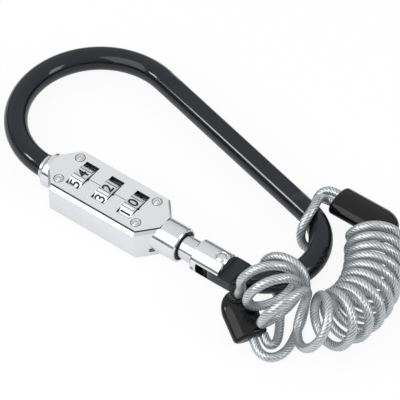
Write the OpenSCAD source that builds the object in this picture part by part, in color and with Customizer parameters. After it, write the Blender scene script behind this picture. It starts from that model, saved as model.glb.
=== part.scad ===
// Carabiner-type combination lock on a self-coiling steel cable.
// Working axes: X runs along the lock barrel towards the hinge, Y towards the straight back of the hook,
// Z up. Inside the modules the hinge rivet stands at the origin and the barrel's axis is at Z = 0;
// place() then moves everything so that the part stands on Z = 0, centred on its outline.

/* [Hook] */
// Diameter of the coated steel rod
rod_d = 9.2; // [8:0.1:10.5]
// Radius of the rod's centre line round the large bend
big_bend_r = 31.8; // [27:0.2:38.2]
// Radius of the rod's centre line round the small bend
small_bend_r = 20.8; // [18:0.2:25]
// Distance from the rivet to the start of the small bend
bend_start = 4.5; // [2:0.5:8]
// Thickness of the pressed flat on the straight back
pressed_t = 7; // [5.5:0.1:8.5]
// Plain rod left at each end of the pressed flat
pressed_margin = 3; // [2:0.5:12]
// Length of the slope at each end of the pressed flat
pressed_run = 5; // [3:0.5:10]
// Thickness of the hinge tongue
tongue_t = 4.4; // [3:0.1:6]
// Width of the hinge tongue
tongue_w = 12.4; // [10:0.1:12.8]
// Turn of the small bend, in degrees, that the forged tongue takes up
tongue_turn = 24; // [20:1:34]

/* [Nose] */
// Length of the collar ring on the rod's end
collar_l = 1.2; // [0.8:0.1:3]
// Diameter of the collar ring
collar_d = 10; // [9.6:0.1:12]
// Diameter of the nose pin
nose_d = 6.4; // [5:0.1:7.5]
// Depth to which the nose enters the barrel
nose_depth = 5.5; // [3:0.5:6]
// Gap between the collar and the barrel when it is closed
nose_gap = 0.9; // [0.6:0.1:2]
// Depth to which the nose pin is seated in the rod
nose_seat = 6; // [4:0.5:8]

/* [Hinge] */
// Diameter of the hinge block
block_d = 13; // [12:0.1:15]
// Length of the hinge block
block_l = 13.5; // [12:0.5:18]
// Length of the hinge block past the rivet
block_front = 3; // [2:0.5:4]
// Length from the rivet to the bottom of the fork's slot
fork_depth = 7.5; // [7:0.1:9]
// Clearance on each side of the tongue
tongue_clear = 0.2; // [0.1:0.05:0.4]
// Diameter of the rivet
rivet_d = 3; // [2:0.1:4]
// Diameter of the rivet's heads
rivet_head_d = 4.4; // [4:0.1:6]

/* [Spindle] */
// Diameter of the spindle where it shows
spindle_d = 9.4; // [8.5:0.1:9.6]
// Length of spindle that shows when the barrel is closed
spindle_show = 7; // [7:0.5:10]
// Travel of the barrel along the spindle
slide_travel = 6.5; // [6:0.1:6.8]
// Diameter of the spindle's core inside the dials
core_d = 5.6; // [4.5:0.1:6]
// Radius over the fins on the core
fin_r = 4.2; // [3.8:0.1:4.3]
// Width of the fins
fin_w = 1.8; // [1.2:0.1:2.4]
// Diameter of the stub held in the hinge block
stub_d = 6; // [5:0.1:7]
// Diameter of the cross pin through block and stub
cross_pin_d = 1.6; // [1:0.1:2]

/* [Barrel] */
// Length of the barrel's wide body
body_l = 52.7; // [50:0.1:64]
// Width of the barrel's wide body
body_w = 22.8; // [22:0.1:28]
// Thickness of the barrel
body_t = 14; // [13:0.1:15.5]
// Width across the ends of the body
body_end_w = 8.8; // [7:0.1:12]
// Length of the slanted corners
corner_l = 6.2; // [5:0.1:8]
// Bevel round the top
bevel = 1.1; // [0.6:0.1:1.6]
// Height of the parting ledge above the barrel's back
ledge_h = 5.4; // [4:0.1:6]
// Width of the parting ledge
ledge_w = 0.2; // [0.1:0.05:0.4]
// Inward slope of the sides below the ledge
draft = 0.4; // [0:0.1:1]
// Length of the round neck at the hinge end
neck_l = 9; // [7:0.5:12]
// Length of the round boss at the nose end
boss_l = 2.3; // [1.5:0.1:4]
// Thickness of the face plate
plate_t = 0.9; // [0.6:0.1:1.2]
// Width of the face plate
plate_w = 20; // [19:0.1:21]
// Width of the windows along the barrel
window_w = 5.9; // [5.7:0.1:6.4]
// Length of the windows across the barrel
window_l = 12.9; // [12.6:0.1:13.4]
// Diameter of the heads of the plate's rivets
post_head_d = 3.7; // [3:0.1:4.5]

/* [Dials] */
// Number of dials
dial_count = 3; // [3]
// Spacing of the dials along the barrel
dial_pitch = 12.1; // [11.8:0.1:13]
// Distance of the middle dial from the body's hinge end
dial_mid = 27; // [26:0.1:31]
// Radius over the ribs of a dial
dial_r = 8.7; // [8.5:0.05:9]
// Width of a dial
dial_w = 5.6; // [5:0.1:5.8]
// Width of the ribs between the numbers
rib_w = 1.1; // [0.6:0.1:1.6]
// Radius to the middle of the hollow number seats
seat_r = 8.05; // [7.8:0.05:8.3]
// Outer diameter of the sleeves that carry the dials
sleeve_d = 11.9; // [11.4:0.1:12.3]
// Bore of the sleeves
sleeve_bore = 9.4; // [9:0.1:9.8]
// Thickness of the slotted wall in each sleeve
sleeve_wall = 2.4; // [1.5:0.1:2.4]

/* [Cable] */
// Diameter of the coated cable
cable_d = 3.4; // [2.8:0.1:3.6]
// Radius of the coil's centre line
coil_r = 9.8; // [9:0.1:10.4]
// Gap between the coil's turns on the inside of its bend
turn_gap = 0.55; // [0.5:0.05:1.4]
// Sides of the modelled cable
cable_sides = 6; // [6:1:8]

/* [Ferrules] */
// Width of a ferrule
ferrule_w = 13.4; // [12:0.1:15]
// Thickness of a ferrule
ferrule_t = 8; // [7:0.1:9]
// Spacing of the two strands in a ferrule's mouth
strand_gap = 4.7; // [4.2:0.1:5.3]

/* [Hidden] */
$fn = 64;

// fits, as gaps on the radius
running = 0.05;
seated = 0.02;
easy = 0.1;
eps = 0.01;
cut = 30;

// places along the barrel, from the rivet
block_back = block_front - block_l;
neck_end = block_back - spindle_show;
body_right = neck_end - neck_l;
body_left = body_right - body_l;
boss_end = body_left - boss_l;
collar_face = boss_end - nose_gap;
nose_x = collar_face - collar_l;
nose_tip = boss_end + nose_depth;
nose_relief = 0.9;

// heights about the barrel's axis
top_z = body_t / 2;
deck_z = top_z - plate_t;
back_z = -body_t / 2;
ledge_z = back_z + ledge_h;
round_d = body_t - 0.1;

// the hook's two bends and the straight back that touches both
big_c = [nose_x, big_bend_r];
small_c = [bend_start, small_bend_r];
centres = small_c - big_c;
back_angle = atan2(centres.y, centres.x) + acos((big_bend_r - small_bend_r) / norm(centres));
back_n = [cos(back_angle), sin(back_angle)];
back_l = sqrt(pow(norm(centres), 2) - pow(big_bend_r - small_bend_r, 2));
blend_x = 8;

// dials
digits = 10;
step = 360 / digits;
rib_half = asin(rib_w / 2 / dial_r);
seat_half = step / 2 - rib_half;
seat_chord = dial_r * sin(seat_half);
seat_dip = dial_r * cos(seat_half) - seat_r;
seat_cut_r = (pow(seat_chord, 2) + pow(seat_dip, 2)) / (2 * seat_dip);
dial_xs = [for (i = [0 : dial_count - 1]) body_right - dial_mid + (i - 1) * dial_pitch];
pocket_r = dial_r + 0.4;
pocket_w = dial_w + 0.4;
sleeve_half = 3.6;
web_bore_d = sleeve_d + 2 * running;
web_left = dial_xs[0] - sleeve_half - easy;
web_right = dial_xs[dial_count - 1] + sleeve_half + easy;

// inside the barrel
spindle_bore_d = spindle_d + 2 * running;
nose_bore_d = nose_d + 2 * easy;
spindle_end = web_right + slide_travel + easy + 0.2;
core_end = nose_tip + 5;
fin_left = sleeve_wall - sleeve_half + 0.3;
fin_l = 2.4;
fin_stop = dial_xs[0] + fin_left - slide_travel - 3 * easy;
guide_d = 2;
guide_x = body_right - 1.5;
guide_z = -4.2;
guide_clear = 0.2;
bush_l = 1.2;
bush_d = 11;
bush_seat = 1.5;
post_xs = [body_left + 7.3, body_right - 8.6];
post_y = 6.5;
post_d = 2.2;
post_depth = 3.4;
head_sink = 0.5;
spring_y = 7.3;
spring_w = 2;
spring_t = 0.4;
spring_z = deck_z - 0.75;
spring_l = 2 * dial_pitch + pocket_w + 1.8;

// outline of the barrel's body in plan, drawn in by inset along the sides
function body_plan(inset) = [
    [body_left, -body_end_w / 2 + inset], [body_left + corner_l, -body_w / 2 + inset],
    [body_right - corner_l, -body_w / 2 + inset], [body_right, -body_end_w / 2 + inset],
    [body_right, body_end_w / 2 - inset], [body_right - corner_l, body_w / 2 - inset],
    [body_left + corner_l, body_w / 2 - inset], [body_left, body_end_w / 2 - inset]
];

// the part stands on the dials' lowest ribs and is centred on the hook and barrel
rod_r = rod_d / 2;
place_x = -(nose_x - big_bend_r - rod_r + bend_start + small_bend_r + rod_r) / 2;
place_y = -(2 * big_bend_r + rod_r - body_w / 2) / 2;
place_z = dial_r * cos(seat_half);

module place() {
    translate([place_x, place_y, place_z])
        children();
}

// a round bar along +X from x
module bar(x, l, d) {
    translate([x, 0, 0])
        rotate([0, 90, 0])
            cylinder(h = l, d = d);
}

// a turned piece along X: points are [x, radius]
module turned(points) {
    rotate([0, 90, 0])
        rotate_extrude()
            polygon([for (p = points) [p.y, p.x]]);
}

// a block by its lowest and highest corners
module block(lo, hi) {
    translate(lo)
        cube(hi - lo);
}

// ---- hook ----

module tongue() {
    cylinder(h = tongue_t, d = tongue_w, center = true);
    block([0, -tongue_w / 2, -tongue_t / 2], [blend_x, tongue_w / 2, tongue_t / 2]);
}

// forged change from the flat tongue to the round rod
module tongue_blend() {
    hull() {
        translate([blend_x, 0, 0])
            cube([eps, tongue_w, tongue_t], center = true);
        translate([small_c.x, small_c.y, 0])
            rotate([0, 0, tongue_turn - 90])
                translate([small_bend_r, 0, 0])
                    rotate([90, 0, 0])
                        cylinder(h = 0.2, d = rod_d * 0.996, center = true, $fn = 32);
    }
}

// wedge that presses the straight back flat from above
module press_cut() {
    rotate([90, 0, 0])
        linear_extrude(height = 3 * rod_d, center = true)
            polygon([
                [pressed_margin, pressed_t / 2 + rod_d],
                [pressed_margin, rod_d / 2 + eps],
                [pressed_margin + pressed_run, pressed_t / 2],
                [back_l - pressed_margin - pressed_run, pressed_t / 2],
                [back_l - pressed_margin, rod_d / 2 + eps],
                [back_l - pressed_margin, pressed_t / 2 + rod_d]
            ]);
}

// straight back, a hair slimmer than the bends that its ends reach into
module straight_back() {
    reach = 0.3;
    slim = 0.05;
    translate([big_c.x + big_bend_r * back_n.x, big_c.y + big_bend_r * back_n.y, 0])
        rotate([0, 0, back_angle - 90])
            difference() {
                bar(-reach, back_l + 2 * reach, rod_d - 2 * slim);
                press_cut();
                mirror([0, 0, 1])
                    press_cut();
            }
}

module bend(centre, radius, from, to) {
    translate([centre.x, centre.y, 0])
        rotate([0, 0, from])
            rotate_extrude(angle = to - from)
                translate([radius, 0])
                    circle(d = rod_d);
}

module hook_rod() {
    color("#1b1b1d")
        place()
            difference() {
                union() {
                    bend(big_c, big_bend_r, back_angle, 270);
                    straight_back();
                    bend(small_c, small_bend_r, tongue_turn - 90, back_angle);
                    tongue_blend();
                    tongue();
                }
                cylinder(h = cut, d = rivet_d + 2 * running, center = true);
                bar(nose_x - nose_seat - easy, nose_seat + 1, nose_d + 2 * seated);
            }
}

module nose_collar() {
    color("#c9ccd0")
        place()
            difference() {
                turned([
                    [nose_x, 0], [nose_x, collar_d / 2], [collar_face - 0.3, collar_d / 2],
                    [collar_face, collar_d / 2 - 0.3], [collar_face, 0]
                ]);
                bar(nose_x - 1, collar_l + 2, nose_d + 2 * seated);
            }
}

module nose_pin() {
    color("#8d9095")
        place()
            turned([
                [nose_x - nose_seat, 0], [nose_x - nose_seat, nose_d / 2],
                [nose_tip - 0.8, nose_d / 2], [nose_tip, nose_d / 2 - 0.8], [nose_tip, 0]
            ]);
}

// ---- hinge ----

module hinge_block() {
    chamfer = 0.5;
    slot_t = tongue_t + 2 * tongue_clear;
    spot_z = sqrt(pow(block_d / 2, 2) - pow(rivet_head_d / 2 + 0.3, 2)) - 0.2;
    color("#cfd2d6")
        place()
            difference() {
                turned([
                    [block_back, 0], [block_back, block_d / 2 - chamfer],
                    [block_back + chamfer, block_d / 2], [block_front - chamfer, block_d / 2],
                    [block_front, block_d / 2 - chamfer], [block_front, 0]
                ]);
                block([-fork_depth, -cut, -slot_t / 2], [cut, cut, slot_t / 2]);
                cylinder(h = cut, d = rivet_d + 2 * seated, center = true);
                for (side = [0, 1])
                    mirror([0, 0, side])
                        translate([0, 0, spot_z])
                            cylinder(h = cut, d = rivet_head_d + 0.6);
                bar(block_back - 1, stub_l() + 1 + easy, stub_d + 2 * seated);
                cross_pin_bore();
            }
}

// length of the spindle's stub, ending short of the fork's slot
function stub_l() = block_l - block_front - fork_depth - 0.4;

module cross_pin_bore() {
    translate([block_back + 1.3, 0, -0.9])
        rotate([90, 0, 0])
            cylinder(h = cut, d = cross_pin_d + 2 * seated, center = true);
}

module cross_pin() {
    color("#9a9da2")
        place()
            translate([block_back + 1.3, 0, -0.9])
                rotate([90, 0, 0])
                    cylinder(h = block_d - 0.3, d = cross_pin_d, center = true);
}

// shank with a domed head at each end
module hinge_rivet() {
    spot_z = sqrt(pow(block_d / 2, 2) - pow(rivet_head_d / 2 + 0.3, 2)) - 0.2;
    dome = 1;
    dome_r = (pow(rivet_head_d / 2, 2) + pow(dome, 2)) / (2 * dome);
    color("#d5d8dc")
        place()
            union() {
                cylinder(h = 2 * spot_z, d = rivet_d, center = true);
                for (side = [0, 1])
                    mirror([0, 0, side])
                        translate([0, 0, spot_z])
                            intersection() {
                                translate([0, 0, dome - dome_r])
                                    sphere(r = dome_r);
                                cylinder(h = dome + 1, d = rivet_head_d + 1);
                            }
            }
}

// ---- spindle ----

module fin(x) {
    block([x + fin_left, -fin_w / 2, 0], [x + fin_left + fin_l, fin_w / 2, fin_r]);
}

module spindle() {
    groove_z = guide_z + guide_d / 2 + easy;
    groove_left = guide_x - guide_d / 2 - guide_clear;
    groove_right = guide_x + slide_travel + guide_d / 2 + guide_clear;
    color("#d2d5d9")
        place()
            difference() {
                union() {
                    turned([
                        [core_end, 0], [core_end, core_d / 2 - 0.5], [core_end + 0.5, core_d / 2],
                        [spindle_end, core_d / 2], [spindle_end, spindle_d / 2],
                        [block_back, spindle_d / 2], [block_back, stub_d / 2],
                        [block_back + stub_l(), stub_d / 2], [block_back + stub_l(), 0]
                    ]);
                    for (x = dial_xs)
                        fin(x);
                }
                block([groove_left, -cut, -cut], [groove_right, cut, groove_z]);
                cross_pin_bore();
            }
}

// ---- barrel ----

// plan, side profile and bevelled corners of the wide body
module body_solid() {
    slant = atan2((body_w - body_end_w) / 2, corner_l);
    difference() {
        intersection() {
            translate([0, 0, back_z])
                linear_extrude(height = deck_z - back_z)
                    polygon(body_plan(0));
            translate([body_left - 1, 0, 0])
                rotate([90, 0, 90])
                    linear_extrude(height = body_l + 2)
                        polygon([
                            [-body_w / 2 + ledge_w + draft, back_z], [body_w / 2 - ledge_w - draft, back_z],
                            [body_w / 2 - ledge_w, ledge_z], [body_w / 2, ledge_z],
                            [body_w / 2, deck_z - bevel], [body_w / 2 - bevel, deck_z],
                            [-body_w / 2 + bevel, deck_z], [-body_w / 2, deck_z - bevel],
                            [-body_w / 2, ledge_z], [-body_w / 2 + ledge_w, ledge_z]
                        ]);
        }
        for (end = [0, 1], side = [0, 1])
            mirror([0, side, 0])
                translate([end == 0 ? body_left : body_right, body_end_w / 2, deck_z])
                    mirror([end, 0, 0])
                        rotate([0, 0, slant])
                            rotate([0, 90, 0])
                                translate([0, 0, -corner_l])
                                    linear_extrude(height = 4 * corner_l)
                                        polygon([[-1, -bevel - 1], [-1, 1], [bevel + 1, 1]]);
    }
}

module housing() {
    color("#b9bcc1")
        place()
            difference() {
                union() {
                    body_solid();
                    turned([
                        [body_right - corner_l, 0], [body_right - corner_l, round_d / 2],
                        [neck_end - 0.4, round_d / 2], [neck_end, round_d / 2 - 0.4], [neck_end, 0]
                    ]);
                    turned([
                        [boss_end, 0], [boss_end, round_d / 2 - 0.5], [boss_end + 0.5, round_d / 2],
                        [body_left + corner_l, round_d / 2], [body_left + corner_l, 0]
                    ]);
                }
                block([body_left, -cut, deck_z], [body_right, cut, cut]);
                for (x = dial_xs) {
                    bar(x - pocket_w / 2, pocket_w, 2 * pocket_r);
                    block([x - pocket_w / 2, -pocket_r, 0], [x + pocket_w / 2, pocket_r, cut]);
                }
                bar(web_left, web_right - web_left, web_bore_d);
                bar(web_right - eps, neck_end - web_right + 1, spindle_bore_d);
                bar(neck_end - bush_seat, bush_seat + 1, bush_d);
                bar(boss_end - 1, web_left - boss_end + 1 + eps, nose_bore_d);
                bar(fin_stop, web_left - fin_stop + eps, 2 * (fin_r + easy));
                nose_notch();
                guide_pin_bore();
                for (x = post_xs, side = [-1, 1])
                    translate([x, side * post_y, deck_z - post_depth - easy])
                        cylinder(h = cut, d = post_d + 2 * seated);
                spring_seat();
            }
}

// side opening of the nose socket, on the hook's inner side, through which the nose leaves as the gate swings
module nose_notch() {
    block([boss_end - 1, 0, -nose_bore_d / 2], [nose_tip + nose_relief, cut, nose_bore_d / 2]);
}

module guide_pin_bore() {
    translate([guide_x, 0, guide_z])
        rotate([90, 0, 0])
            cylinder(h = cut, d = guide_d + 2 * seated, center = true);
}

module guide_pin() {
    reach = body_end_w / 2 + (body_right - guide_x) * (body_w - body_end_w) / 2 / corner_l - guide_d / 2 - 0.6;
    color("#8d9095")
        place()
            translate([guide_x, 0, guide_z])
                rotate([90, 0, 0])
                    cylinder(h = 2 * reach, d = guide_d, center = true);
}

module spring_seat() {
    middle = dial_xs[1];
    block(
        [middle - spring_l / 2 - easy, spring_y - easy, spring_z - easy],
        [middle + spring_l / 2 + easy, spring_y + spring_w + easy, cut]
    );
}

// leaf with one crest over each dial
module detent_spring() {
    middle = dial_xs[1];
    crest = 0.25;
    crest_r = (pow(1.6, 2) + pow(crest, 2)) / (2 * crest);
    color("#7f8388")
        place()
            difference() {
                block(
                    [middle - spring_l / 2, spring_y, spring_z],
                    [middle + spring_l / 2, spring_y + spring_w, spring_z + spring_t]
                );
                for (x = dial_xs)
                    translate([x, 0, spring_z + crest - crest_r])
                        rotate([90, 0, 0])
                            cylinder(h = cut, r = crest_r, center = true);
            }
}

module face_plate() {
    inset = (body_w - plate_w) / 2;
    notch = 0.7;
    color("#dcdfe2")
        place()
            difference() {
                translate([0, 0, deck_z])
                    linear_extrude(height = plate_t)
                        polygon(body_plan(inset));
                for (x = dial_xs) {
                    block([x - window_w / 2, -window_l / 2, 0], [x + window_w / 2, window_l / 2, cut]);
                    translate([x + window_w / 2 - eps, -0.7, 0])
                        linear_extrude(height = cut)
                            polygon([[0, -notch], [notch, 0], [0, notch]]);
                }
                for (x = post_xs, side = [-1, 1])
                    translate([x, side * post_y, 0]) {
                        cylinder(h = cut, d = post_d + 2 * easy);
                        translate([0, 0, top_z - head_sink])
                            cylinder(h = cut, d = post_head_d + 2 * easy);
                    }
            }
}

// four headed posts that hold the plate, each with a dimpled ring round its middle
module plate_rivets() {
    color("#c4c7cb")
        place()
            for (x = post_xs, side = [-1, 1])
                translate([x, side * post_y, 0])
                    rotate_extrude()
                        polygon([
                            [0, deck_z - post_depth], [post_d / 2, deck_z - post_depth],
                            [post_d / 2, top_z - head_sink], [post_head_d / 2, top_z - head_sink],
                            [post_head_d / 2, top_z + 0.1], [post_head_d / 2 - 0.35, top_z + 0.3],
                            [post_head_d / 2 - 0.75, top_z + 0.1], [post_head_d / 4, top_z + 0.1],
                            [post_head_d / 8, top_z + 0.35], [0, top_z + 0.4]
                        ]);
}

module neck_bush() {
    color("#202124")
        place()
            difference() {
                bar(neck_end - bush_seat, bush_l, bush_d - 2 * seated);
                bar(neck_end - bush_seat - 1, bush_l + 2, spindle_bore_d);
            }
}

// ---- dials ----

// ten hollow number seats between raised ribs, one seat facing up
module dial(i) {
    key_w = 1.4;
    edge = 0.25;
    color("#d0d3d6")
        place()
            translate([dial_xs[i], 0, 0])
                difference() {
                    turned([
                        [-dial_w / 2, 0], [-dial_w / 2, dial_r - edge], [-dial_w / 2 + edge, dial_r],
                        [dial_w / 2 - edge, dial_r], [dial_w / 2, dial_r - edge], [dial_w / 2, 0]
                    ]);
                    for (k = [0 : digits - 1])
                        rotate([k * step, 0, 0])
                            translate([0, 0, seat_r + seat_cut_r])
                                bar(-cut, 2 * cut, 2 * seat_cut_r);
                    bar(-cut, 2 * cut, sleeve_d + 2 * seated);
                    block(
                        [-cut, -key_w / 2 - seated, -sleeve_d / 2 - key_h() - seated],
                        [cut, key_w / 2 + seated, 0]
                    );
                }
}

// height of the key on a sleeve
function key_h() = 0.5;

// slotted sleeve that a fin of the spindle passes only at the set number
module sleeve(i) {
    key_w = 1.4;
    gate_w = fin_w + 2 * easy;
    color("#a8864a")
        place()
            translate([dial_xs[i], 0, 0])
                difference() {
                    union() {
                        bar(-sleeve_half, 2 * sleeve_half, sleeve_d);
                        block([-dial_w / 2, -key_w / 2, -sleeve_d / 2 - key_h()], [dial_w / 2, key_w / 2, -sleeve_bore / 2]);
                    }
                    bar(-sleeve_half + sleeve_wall, cut, sleeve_bore);
                    bar(-cut, 2 * cut, core_d + 4 * easy);
                    block([-cut, -gate_w / 2, 0], [cut, gate_w / 2, fin_r + 2 * easy]);
                }
}

// ---- cable ----

// middle of the domed tail and middle of the body's mouth end, for each ferrule
ferrule_1_ends = [[37.7, 53, 0], [17.2, 53, 0]];
ferrule_2_ends = [[14.5, -11, 1.5], [24.9, -16.5, -3.4]];
mouth_l = 2.6;

// pulls of the curve that the coil's middle follows, from the small bend round to the straight back
coil_pulls = [[24, -4, 13.5], [50, -25, 11.6], [66, 13, 0.2], [39, 42, 4.4]];
// places the eye on the straight back passes, from the near side of the mouth round to the far side
eye_1_way = [
    [11.2, 49.2, 1.4], [11.2, 46.6, 4.2], [12.1, 43.4, 6.3], [13.2, 40, 7.2], [13.8, 36.5, 6.8],
    [13.7, 32.8, 4.4], [13.9, 30.6, 1], [15, 29.8, -3], [16.8, 30.8, -5.8], [18.2, 34, -6.5],
    [15.8, 38.5, -6.5], [12, 43, -6.5], [8.6, 46.8, -5.6], [6.8, 50.4, -3], [7.4, 53.6, -0.9],
    [10, 55.1, -0.1]
];
// places the eye on the small bend passes
eye_2_way = [
    [32.4, -20, -6.2], [36.6, -19.6, -6.6], [39.2, -16, -6.6], [39.4, -11, -6.6], [37.8, -5, -6.6],
    [35.8, 1.5, -6], [33.4, 7, -3], [31, 10.5, 2], [28, 12.3, 6.2], [23, 12.2, 8.5],
    [17.5, 11.5, 7.8], [13.6, 10.4, 5], [12, 9.6, 1], [12.6, 9.4, -3.4], [15, 9.2, -6.2],
    [19.5, 7.4, -6.6], [24.5, 3.4, -6.6], [28.5, -2, -6.6], [31.8, -7, -6.6], [34, -11, -6.6],
    [34.4, -14, -6.5], [33, -15.4, -6]
];

function unit(v) = v / norm(v);

// a point of the smooth curve through p[i] and p[i + 1]
function smooth(p, i, t) =
    let (a = p[max(i - 1, 0)], b = p[i], c = p[i + 1], d = p[min(i + 2, len(p) - 1)])
    0.5 * (2 * b + (c - a) * t + (2 * a - 5 * b + 4 * c - d) * t * t
        + (3 * b - a - 3 * c + d) * t * t * t);
function smooth_path(p, k) = [
    for (i = [0 : len(p) - 2], j = [0 : k - 1]) smooth(p, i, j / k),
    p[len(p) - 1]
];
// a cubic curve from a to b that leaves along u and arrives along v
function lead(a, u, b, v, pull_a, pull_b, k) = [
    for (j = [1 : k - 1])
        let (t = j / k, s = 1 - t)
        a * s * s * s + (a + u * pull_a) * 3 * s * s * t + (b - v * pull_b) * 3 * s * t * t + b * t * t * t
];

// frame of a ferrule: its tail, the way to its mouth and the way across it
function ferrule_dir(ends) = unit(ends[1] - ends[0]);
function ferrule_side(ends) = let (u = ferrule_dir(ends)) unit([-u.y, u.x, 0]);
function mouth_point(ends, across) =
    ends[1] + mouth_l * ferrule_dir(ends) + across * ferrule_side(ends);

// middle line of the coil, its first and second derivative
function mid(t) = let (s = 1 - t, p = coil_pulls)
    p[0] * s * s * s + p[1] * 3 * s * s * t + p[2] * 3 * s * t * t + p[3] * t * t * t;
function mid_d(t) = let (s = 1 - t, p = coil_pulls)
    3 * ((p[1] - p[0]) * s * s + (p[2] - p[1]) * 2 * s * t + (p[3] - p[2]) * t * t);
function mid_dd(t) = let (p = coil_pulls)
    6 * ((p[2] - 2 * p[1] + p[0]) * (1 - t) + (p[3] - 2 * p[2] + p[1]) * t);
function mid_bend(t) = norm(cross(mid_d(t), mid_dd(t))) / pow(norm(mid_d(t)), 3);

// turns made per unit of t, so that the turns keep their gap on the inside of the bend
function turn_rate(t) = norm(mid_d(t)) * (1 - coil_r * mid_bend(t)) / (cable_d + turn_gap);
fine = 400;
turn_sums = [for (i = 0, s = 0; i <= fine; s = s + turn_rate((i + 0.5) / fine) / fine, i = i + 1) s];
coil_from = 300;
coil_to = 60;
part_turn = (coil_to - coil_from + 360) / 360;
coil_turns = floor(turn_sums[fine] - part_turn) + part_turn;
turn_table = [for (i = [0 : fine]) [turn_sums[i] * coil_turns / turn_sums[fine], i / fine]];

// point of the coil after w turns; the coil winds left-handed round its middle line
function coil_point(w) =
    let (
        t = lookup(w, turn_table),
        ahead = unit(mid_d(t)),
        across = unit([-ahead.y, ahead.x, 0]),
        up = cross(ahead, across),
        a = coil_from + 360 * w
    )
    mid(t) + coil_r * (cos(a) * up + sin(a) * across);
turn_rings = 24;
coil_rings = round(coil_turns * turn_rings);
coil_line = [for (k = [0 : coil_rings]) coil_point(k / coil_rings * coil_turns)];

// the live end leaves ferrule 2 through a collar on its top, and ferrule 1 through its tail
collar_dir = unit([0.3, 0, 0.95]);
collar_top = ferrule_2_ends[0] + 4.8 * collar_dir;
tail_dir = [0, -1, 0];
tail_end = ferrule_1_ends[0] + 7.2 * tail_dir;
coil_first = unit(coil_line[1] - coil_line[0]);
coil_last = unit(coil_line[coil_rings] - coil_line[coil_rings - 1]);
cable_line = [
    collar_top,
    collar_top + cable_d * collar_dir,
    each lead(collar_top + cable_d * collar_dir, collar_dir, coil_line[0], coil_first, 5, 5, 6),
    each coil_line,
    each lead(coil_line[coil_rings], coil_last, tail_end + cable_d * tail_dir, -tail_dir, 5, 3, 12),
    tail_end + cable_d * tail_dir,
    tail_end
];

function eye_line(ends, way, first, second, k) =
    let (u = ferrule_dir(ends), a = mouth_point(ends, first), b = mouth_point(ends, second))
    [a, each smooth_path([a + 1.5 * u, each way, b + 1.5 * u], k), b];
eye_1_line = eye_line(ferrule_1_ends, eye_1_way, strand_gap / 2, -strand_gap / 2, 3);
eye_2_line = eye_line(ferrule_2_ends, eye_2_way, 0.5, 0.5 + strand_gap - 0.4, 3);

// a tube of flat sides along a line; each ring's frame is carried over from the one before
function line_dir(p, i) = unit(p[min(i + 1, len(p) - 1)] - p[max(i - 1, 0)]);
function square_to(v, t) = unit(v - (v * t) * t);
module tube(p, d, sides, start) {
    dirs = [for (i = [0 : len(p) - 1]) line_dir(p, i)];
    frames = [
        for (i = 0, f = square_to(start, dirs[0]); i < len(p);
            i = i + 1, f = i < len(p) ? square_to(f, dirs[i]) : f) f
    ];
    points = [
        for (i = [0 : len(p) - 1], k = [0 : sides - 1])
            let (a = (k + 0.5) * 360 / sides)
            p[i] + d / 2 * (cos(a) * frames[i] + sin(a) * cross(dirs[i], frames[i]))
    ];
    sides_faces = [
        for (i = [0 : len(p) - 2], k = [0 : sides - 1], half = [0, 1])
            let (a = i * sides + k, b = i * sides + (k + 1) % sides)
            half == 0 ? [a, a + sides, b] : [b, a + sides, b + sides]
    ];
    last = (len(p) - 1) * sides;
    ends = [
        for (k = [1 : sides - 2], half = [0, 1])
            half == 0 ? [0, k, k + 1] : [last, last + k + 1, last + k]
    ];
    polyhedron(points = points, faces = [each sides_faces, each ends]);
}

// least gap between a turn of the coil and the next, and the lengths of the centre lines
coil_gap = min([
    for (i = [0 : coil_rings], j = [i + turn_rings / 2 : i + 3 * turn_rings / 2])
        if (j <= coil_rings) norm(coil_line[i] - coil_line[j]) - cable_d
]);
function line_l(p) = [
    for (i = 0, s = 0; i < len(p); s = s + (i < len(p) - 1 ? norm(p[i + 1] - p[i]) : 0), i = i + 1) s
][len(p) - 1];
echo(coil_gap = coil_gap, coil_turns = coil_turns);
echo(lengths = [line_l(cable_line), line_l(eye_1_line), line_l(eye_2_line)]);

module cable_coil() {
    color("#a9adb0")
        place()
            tube(cable_line, cable_d, cable_sides, [0, 1, 0]);
}

module cable_eye_1() {
    color("#a9adb0")
        place()
            tube(eye_1_line, cable_d, cable_sides, [0, 0, 1]);
}

module cable_eye_2() {
    color("#a9adb0")
        place()
            tube(eye_2_line, cable_d, cable_sides, [0, 0, 1]);
}

// oval sleeve with a domed tail and a flat mouth, lying along +X from its tail
module ferrule_shell(l) {
    r = ferrule_t / 2;
    side = ferrule_w / 2 - r;
    hull() {
        for (y = [-side, side]) {
            translate([0, y, 0])
                sphere(r = r, $fn = 28);
            translate([l, y, 0])
                rotate([0, 90, 0])
                    cylinder(h = mouth_l, r = r, $fn = 28);
        }
        translate([-0.5, 0, 0])
            sphere(r = r, $fn = 28);
    }
}

module at_ferrule(ends) {
    u = ferrule_dir(ends);
    translate(ends[0])
        rotate([0, -asin(u.z), atan2(u.y, u.x)])
            children();
}

// collar round the strand, from inside the ferrule up to its square end
module strand_collar(end, dir, l) {
    translate(end - l * dir)
        rotate([0, acos(dir.z), atan2(dir.y, dir.x)])
            cylinder(h = l, d1 = cable_d + 3, d2 = cable_d + 1.8, $fn = 24);
}

module ferrule_1() {
    color("#222225")
        place()
            union() {
                at_ferrule(ferrule_1_ends)
                    ferrule_shell(norm(ferrule_1_ends[1] - ferrule_1_ends[0]));
                strand_collar(tail_end, tail_dir, 3);
            }
}

module ferrule_2() {
    color("#222225")
        place()
            union() {
                at_ferrule(ferrule_2_ends)
                    ferrule_shell(norm(ferrule_2_ends[1] - ferrule_2_ends[0]));
                strand_collar(collar_top, collar_dir, 3);
            }
}

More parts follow.
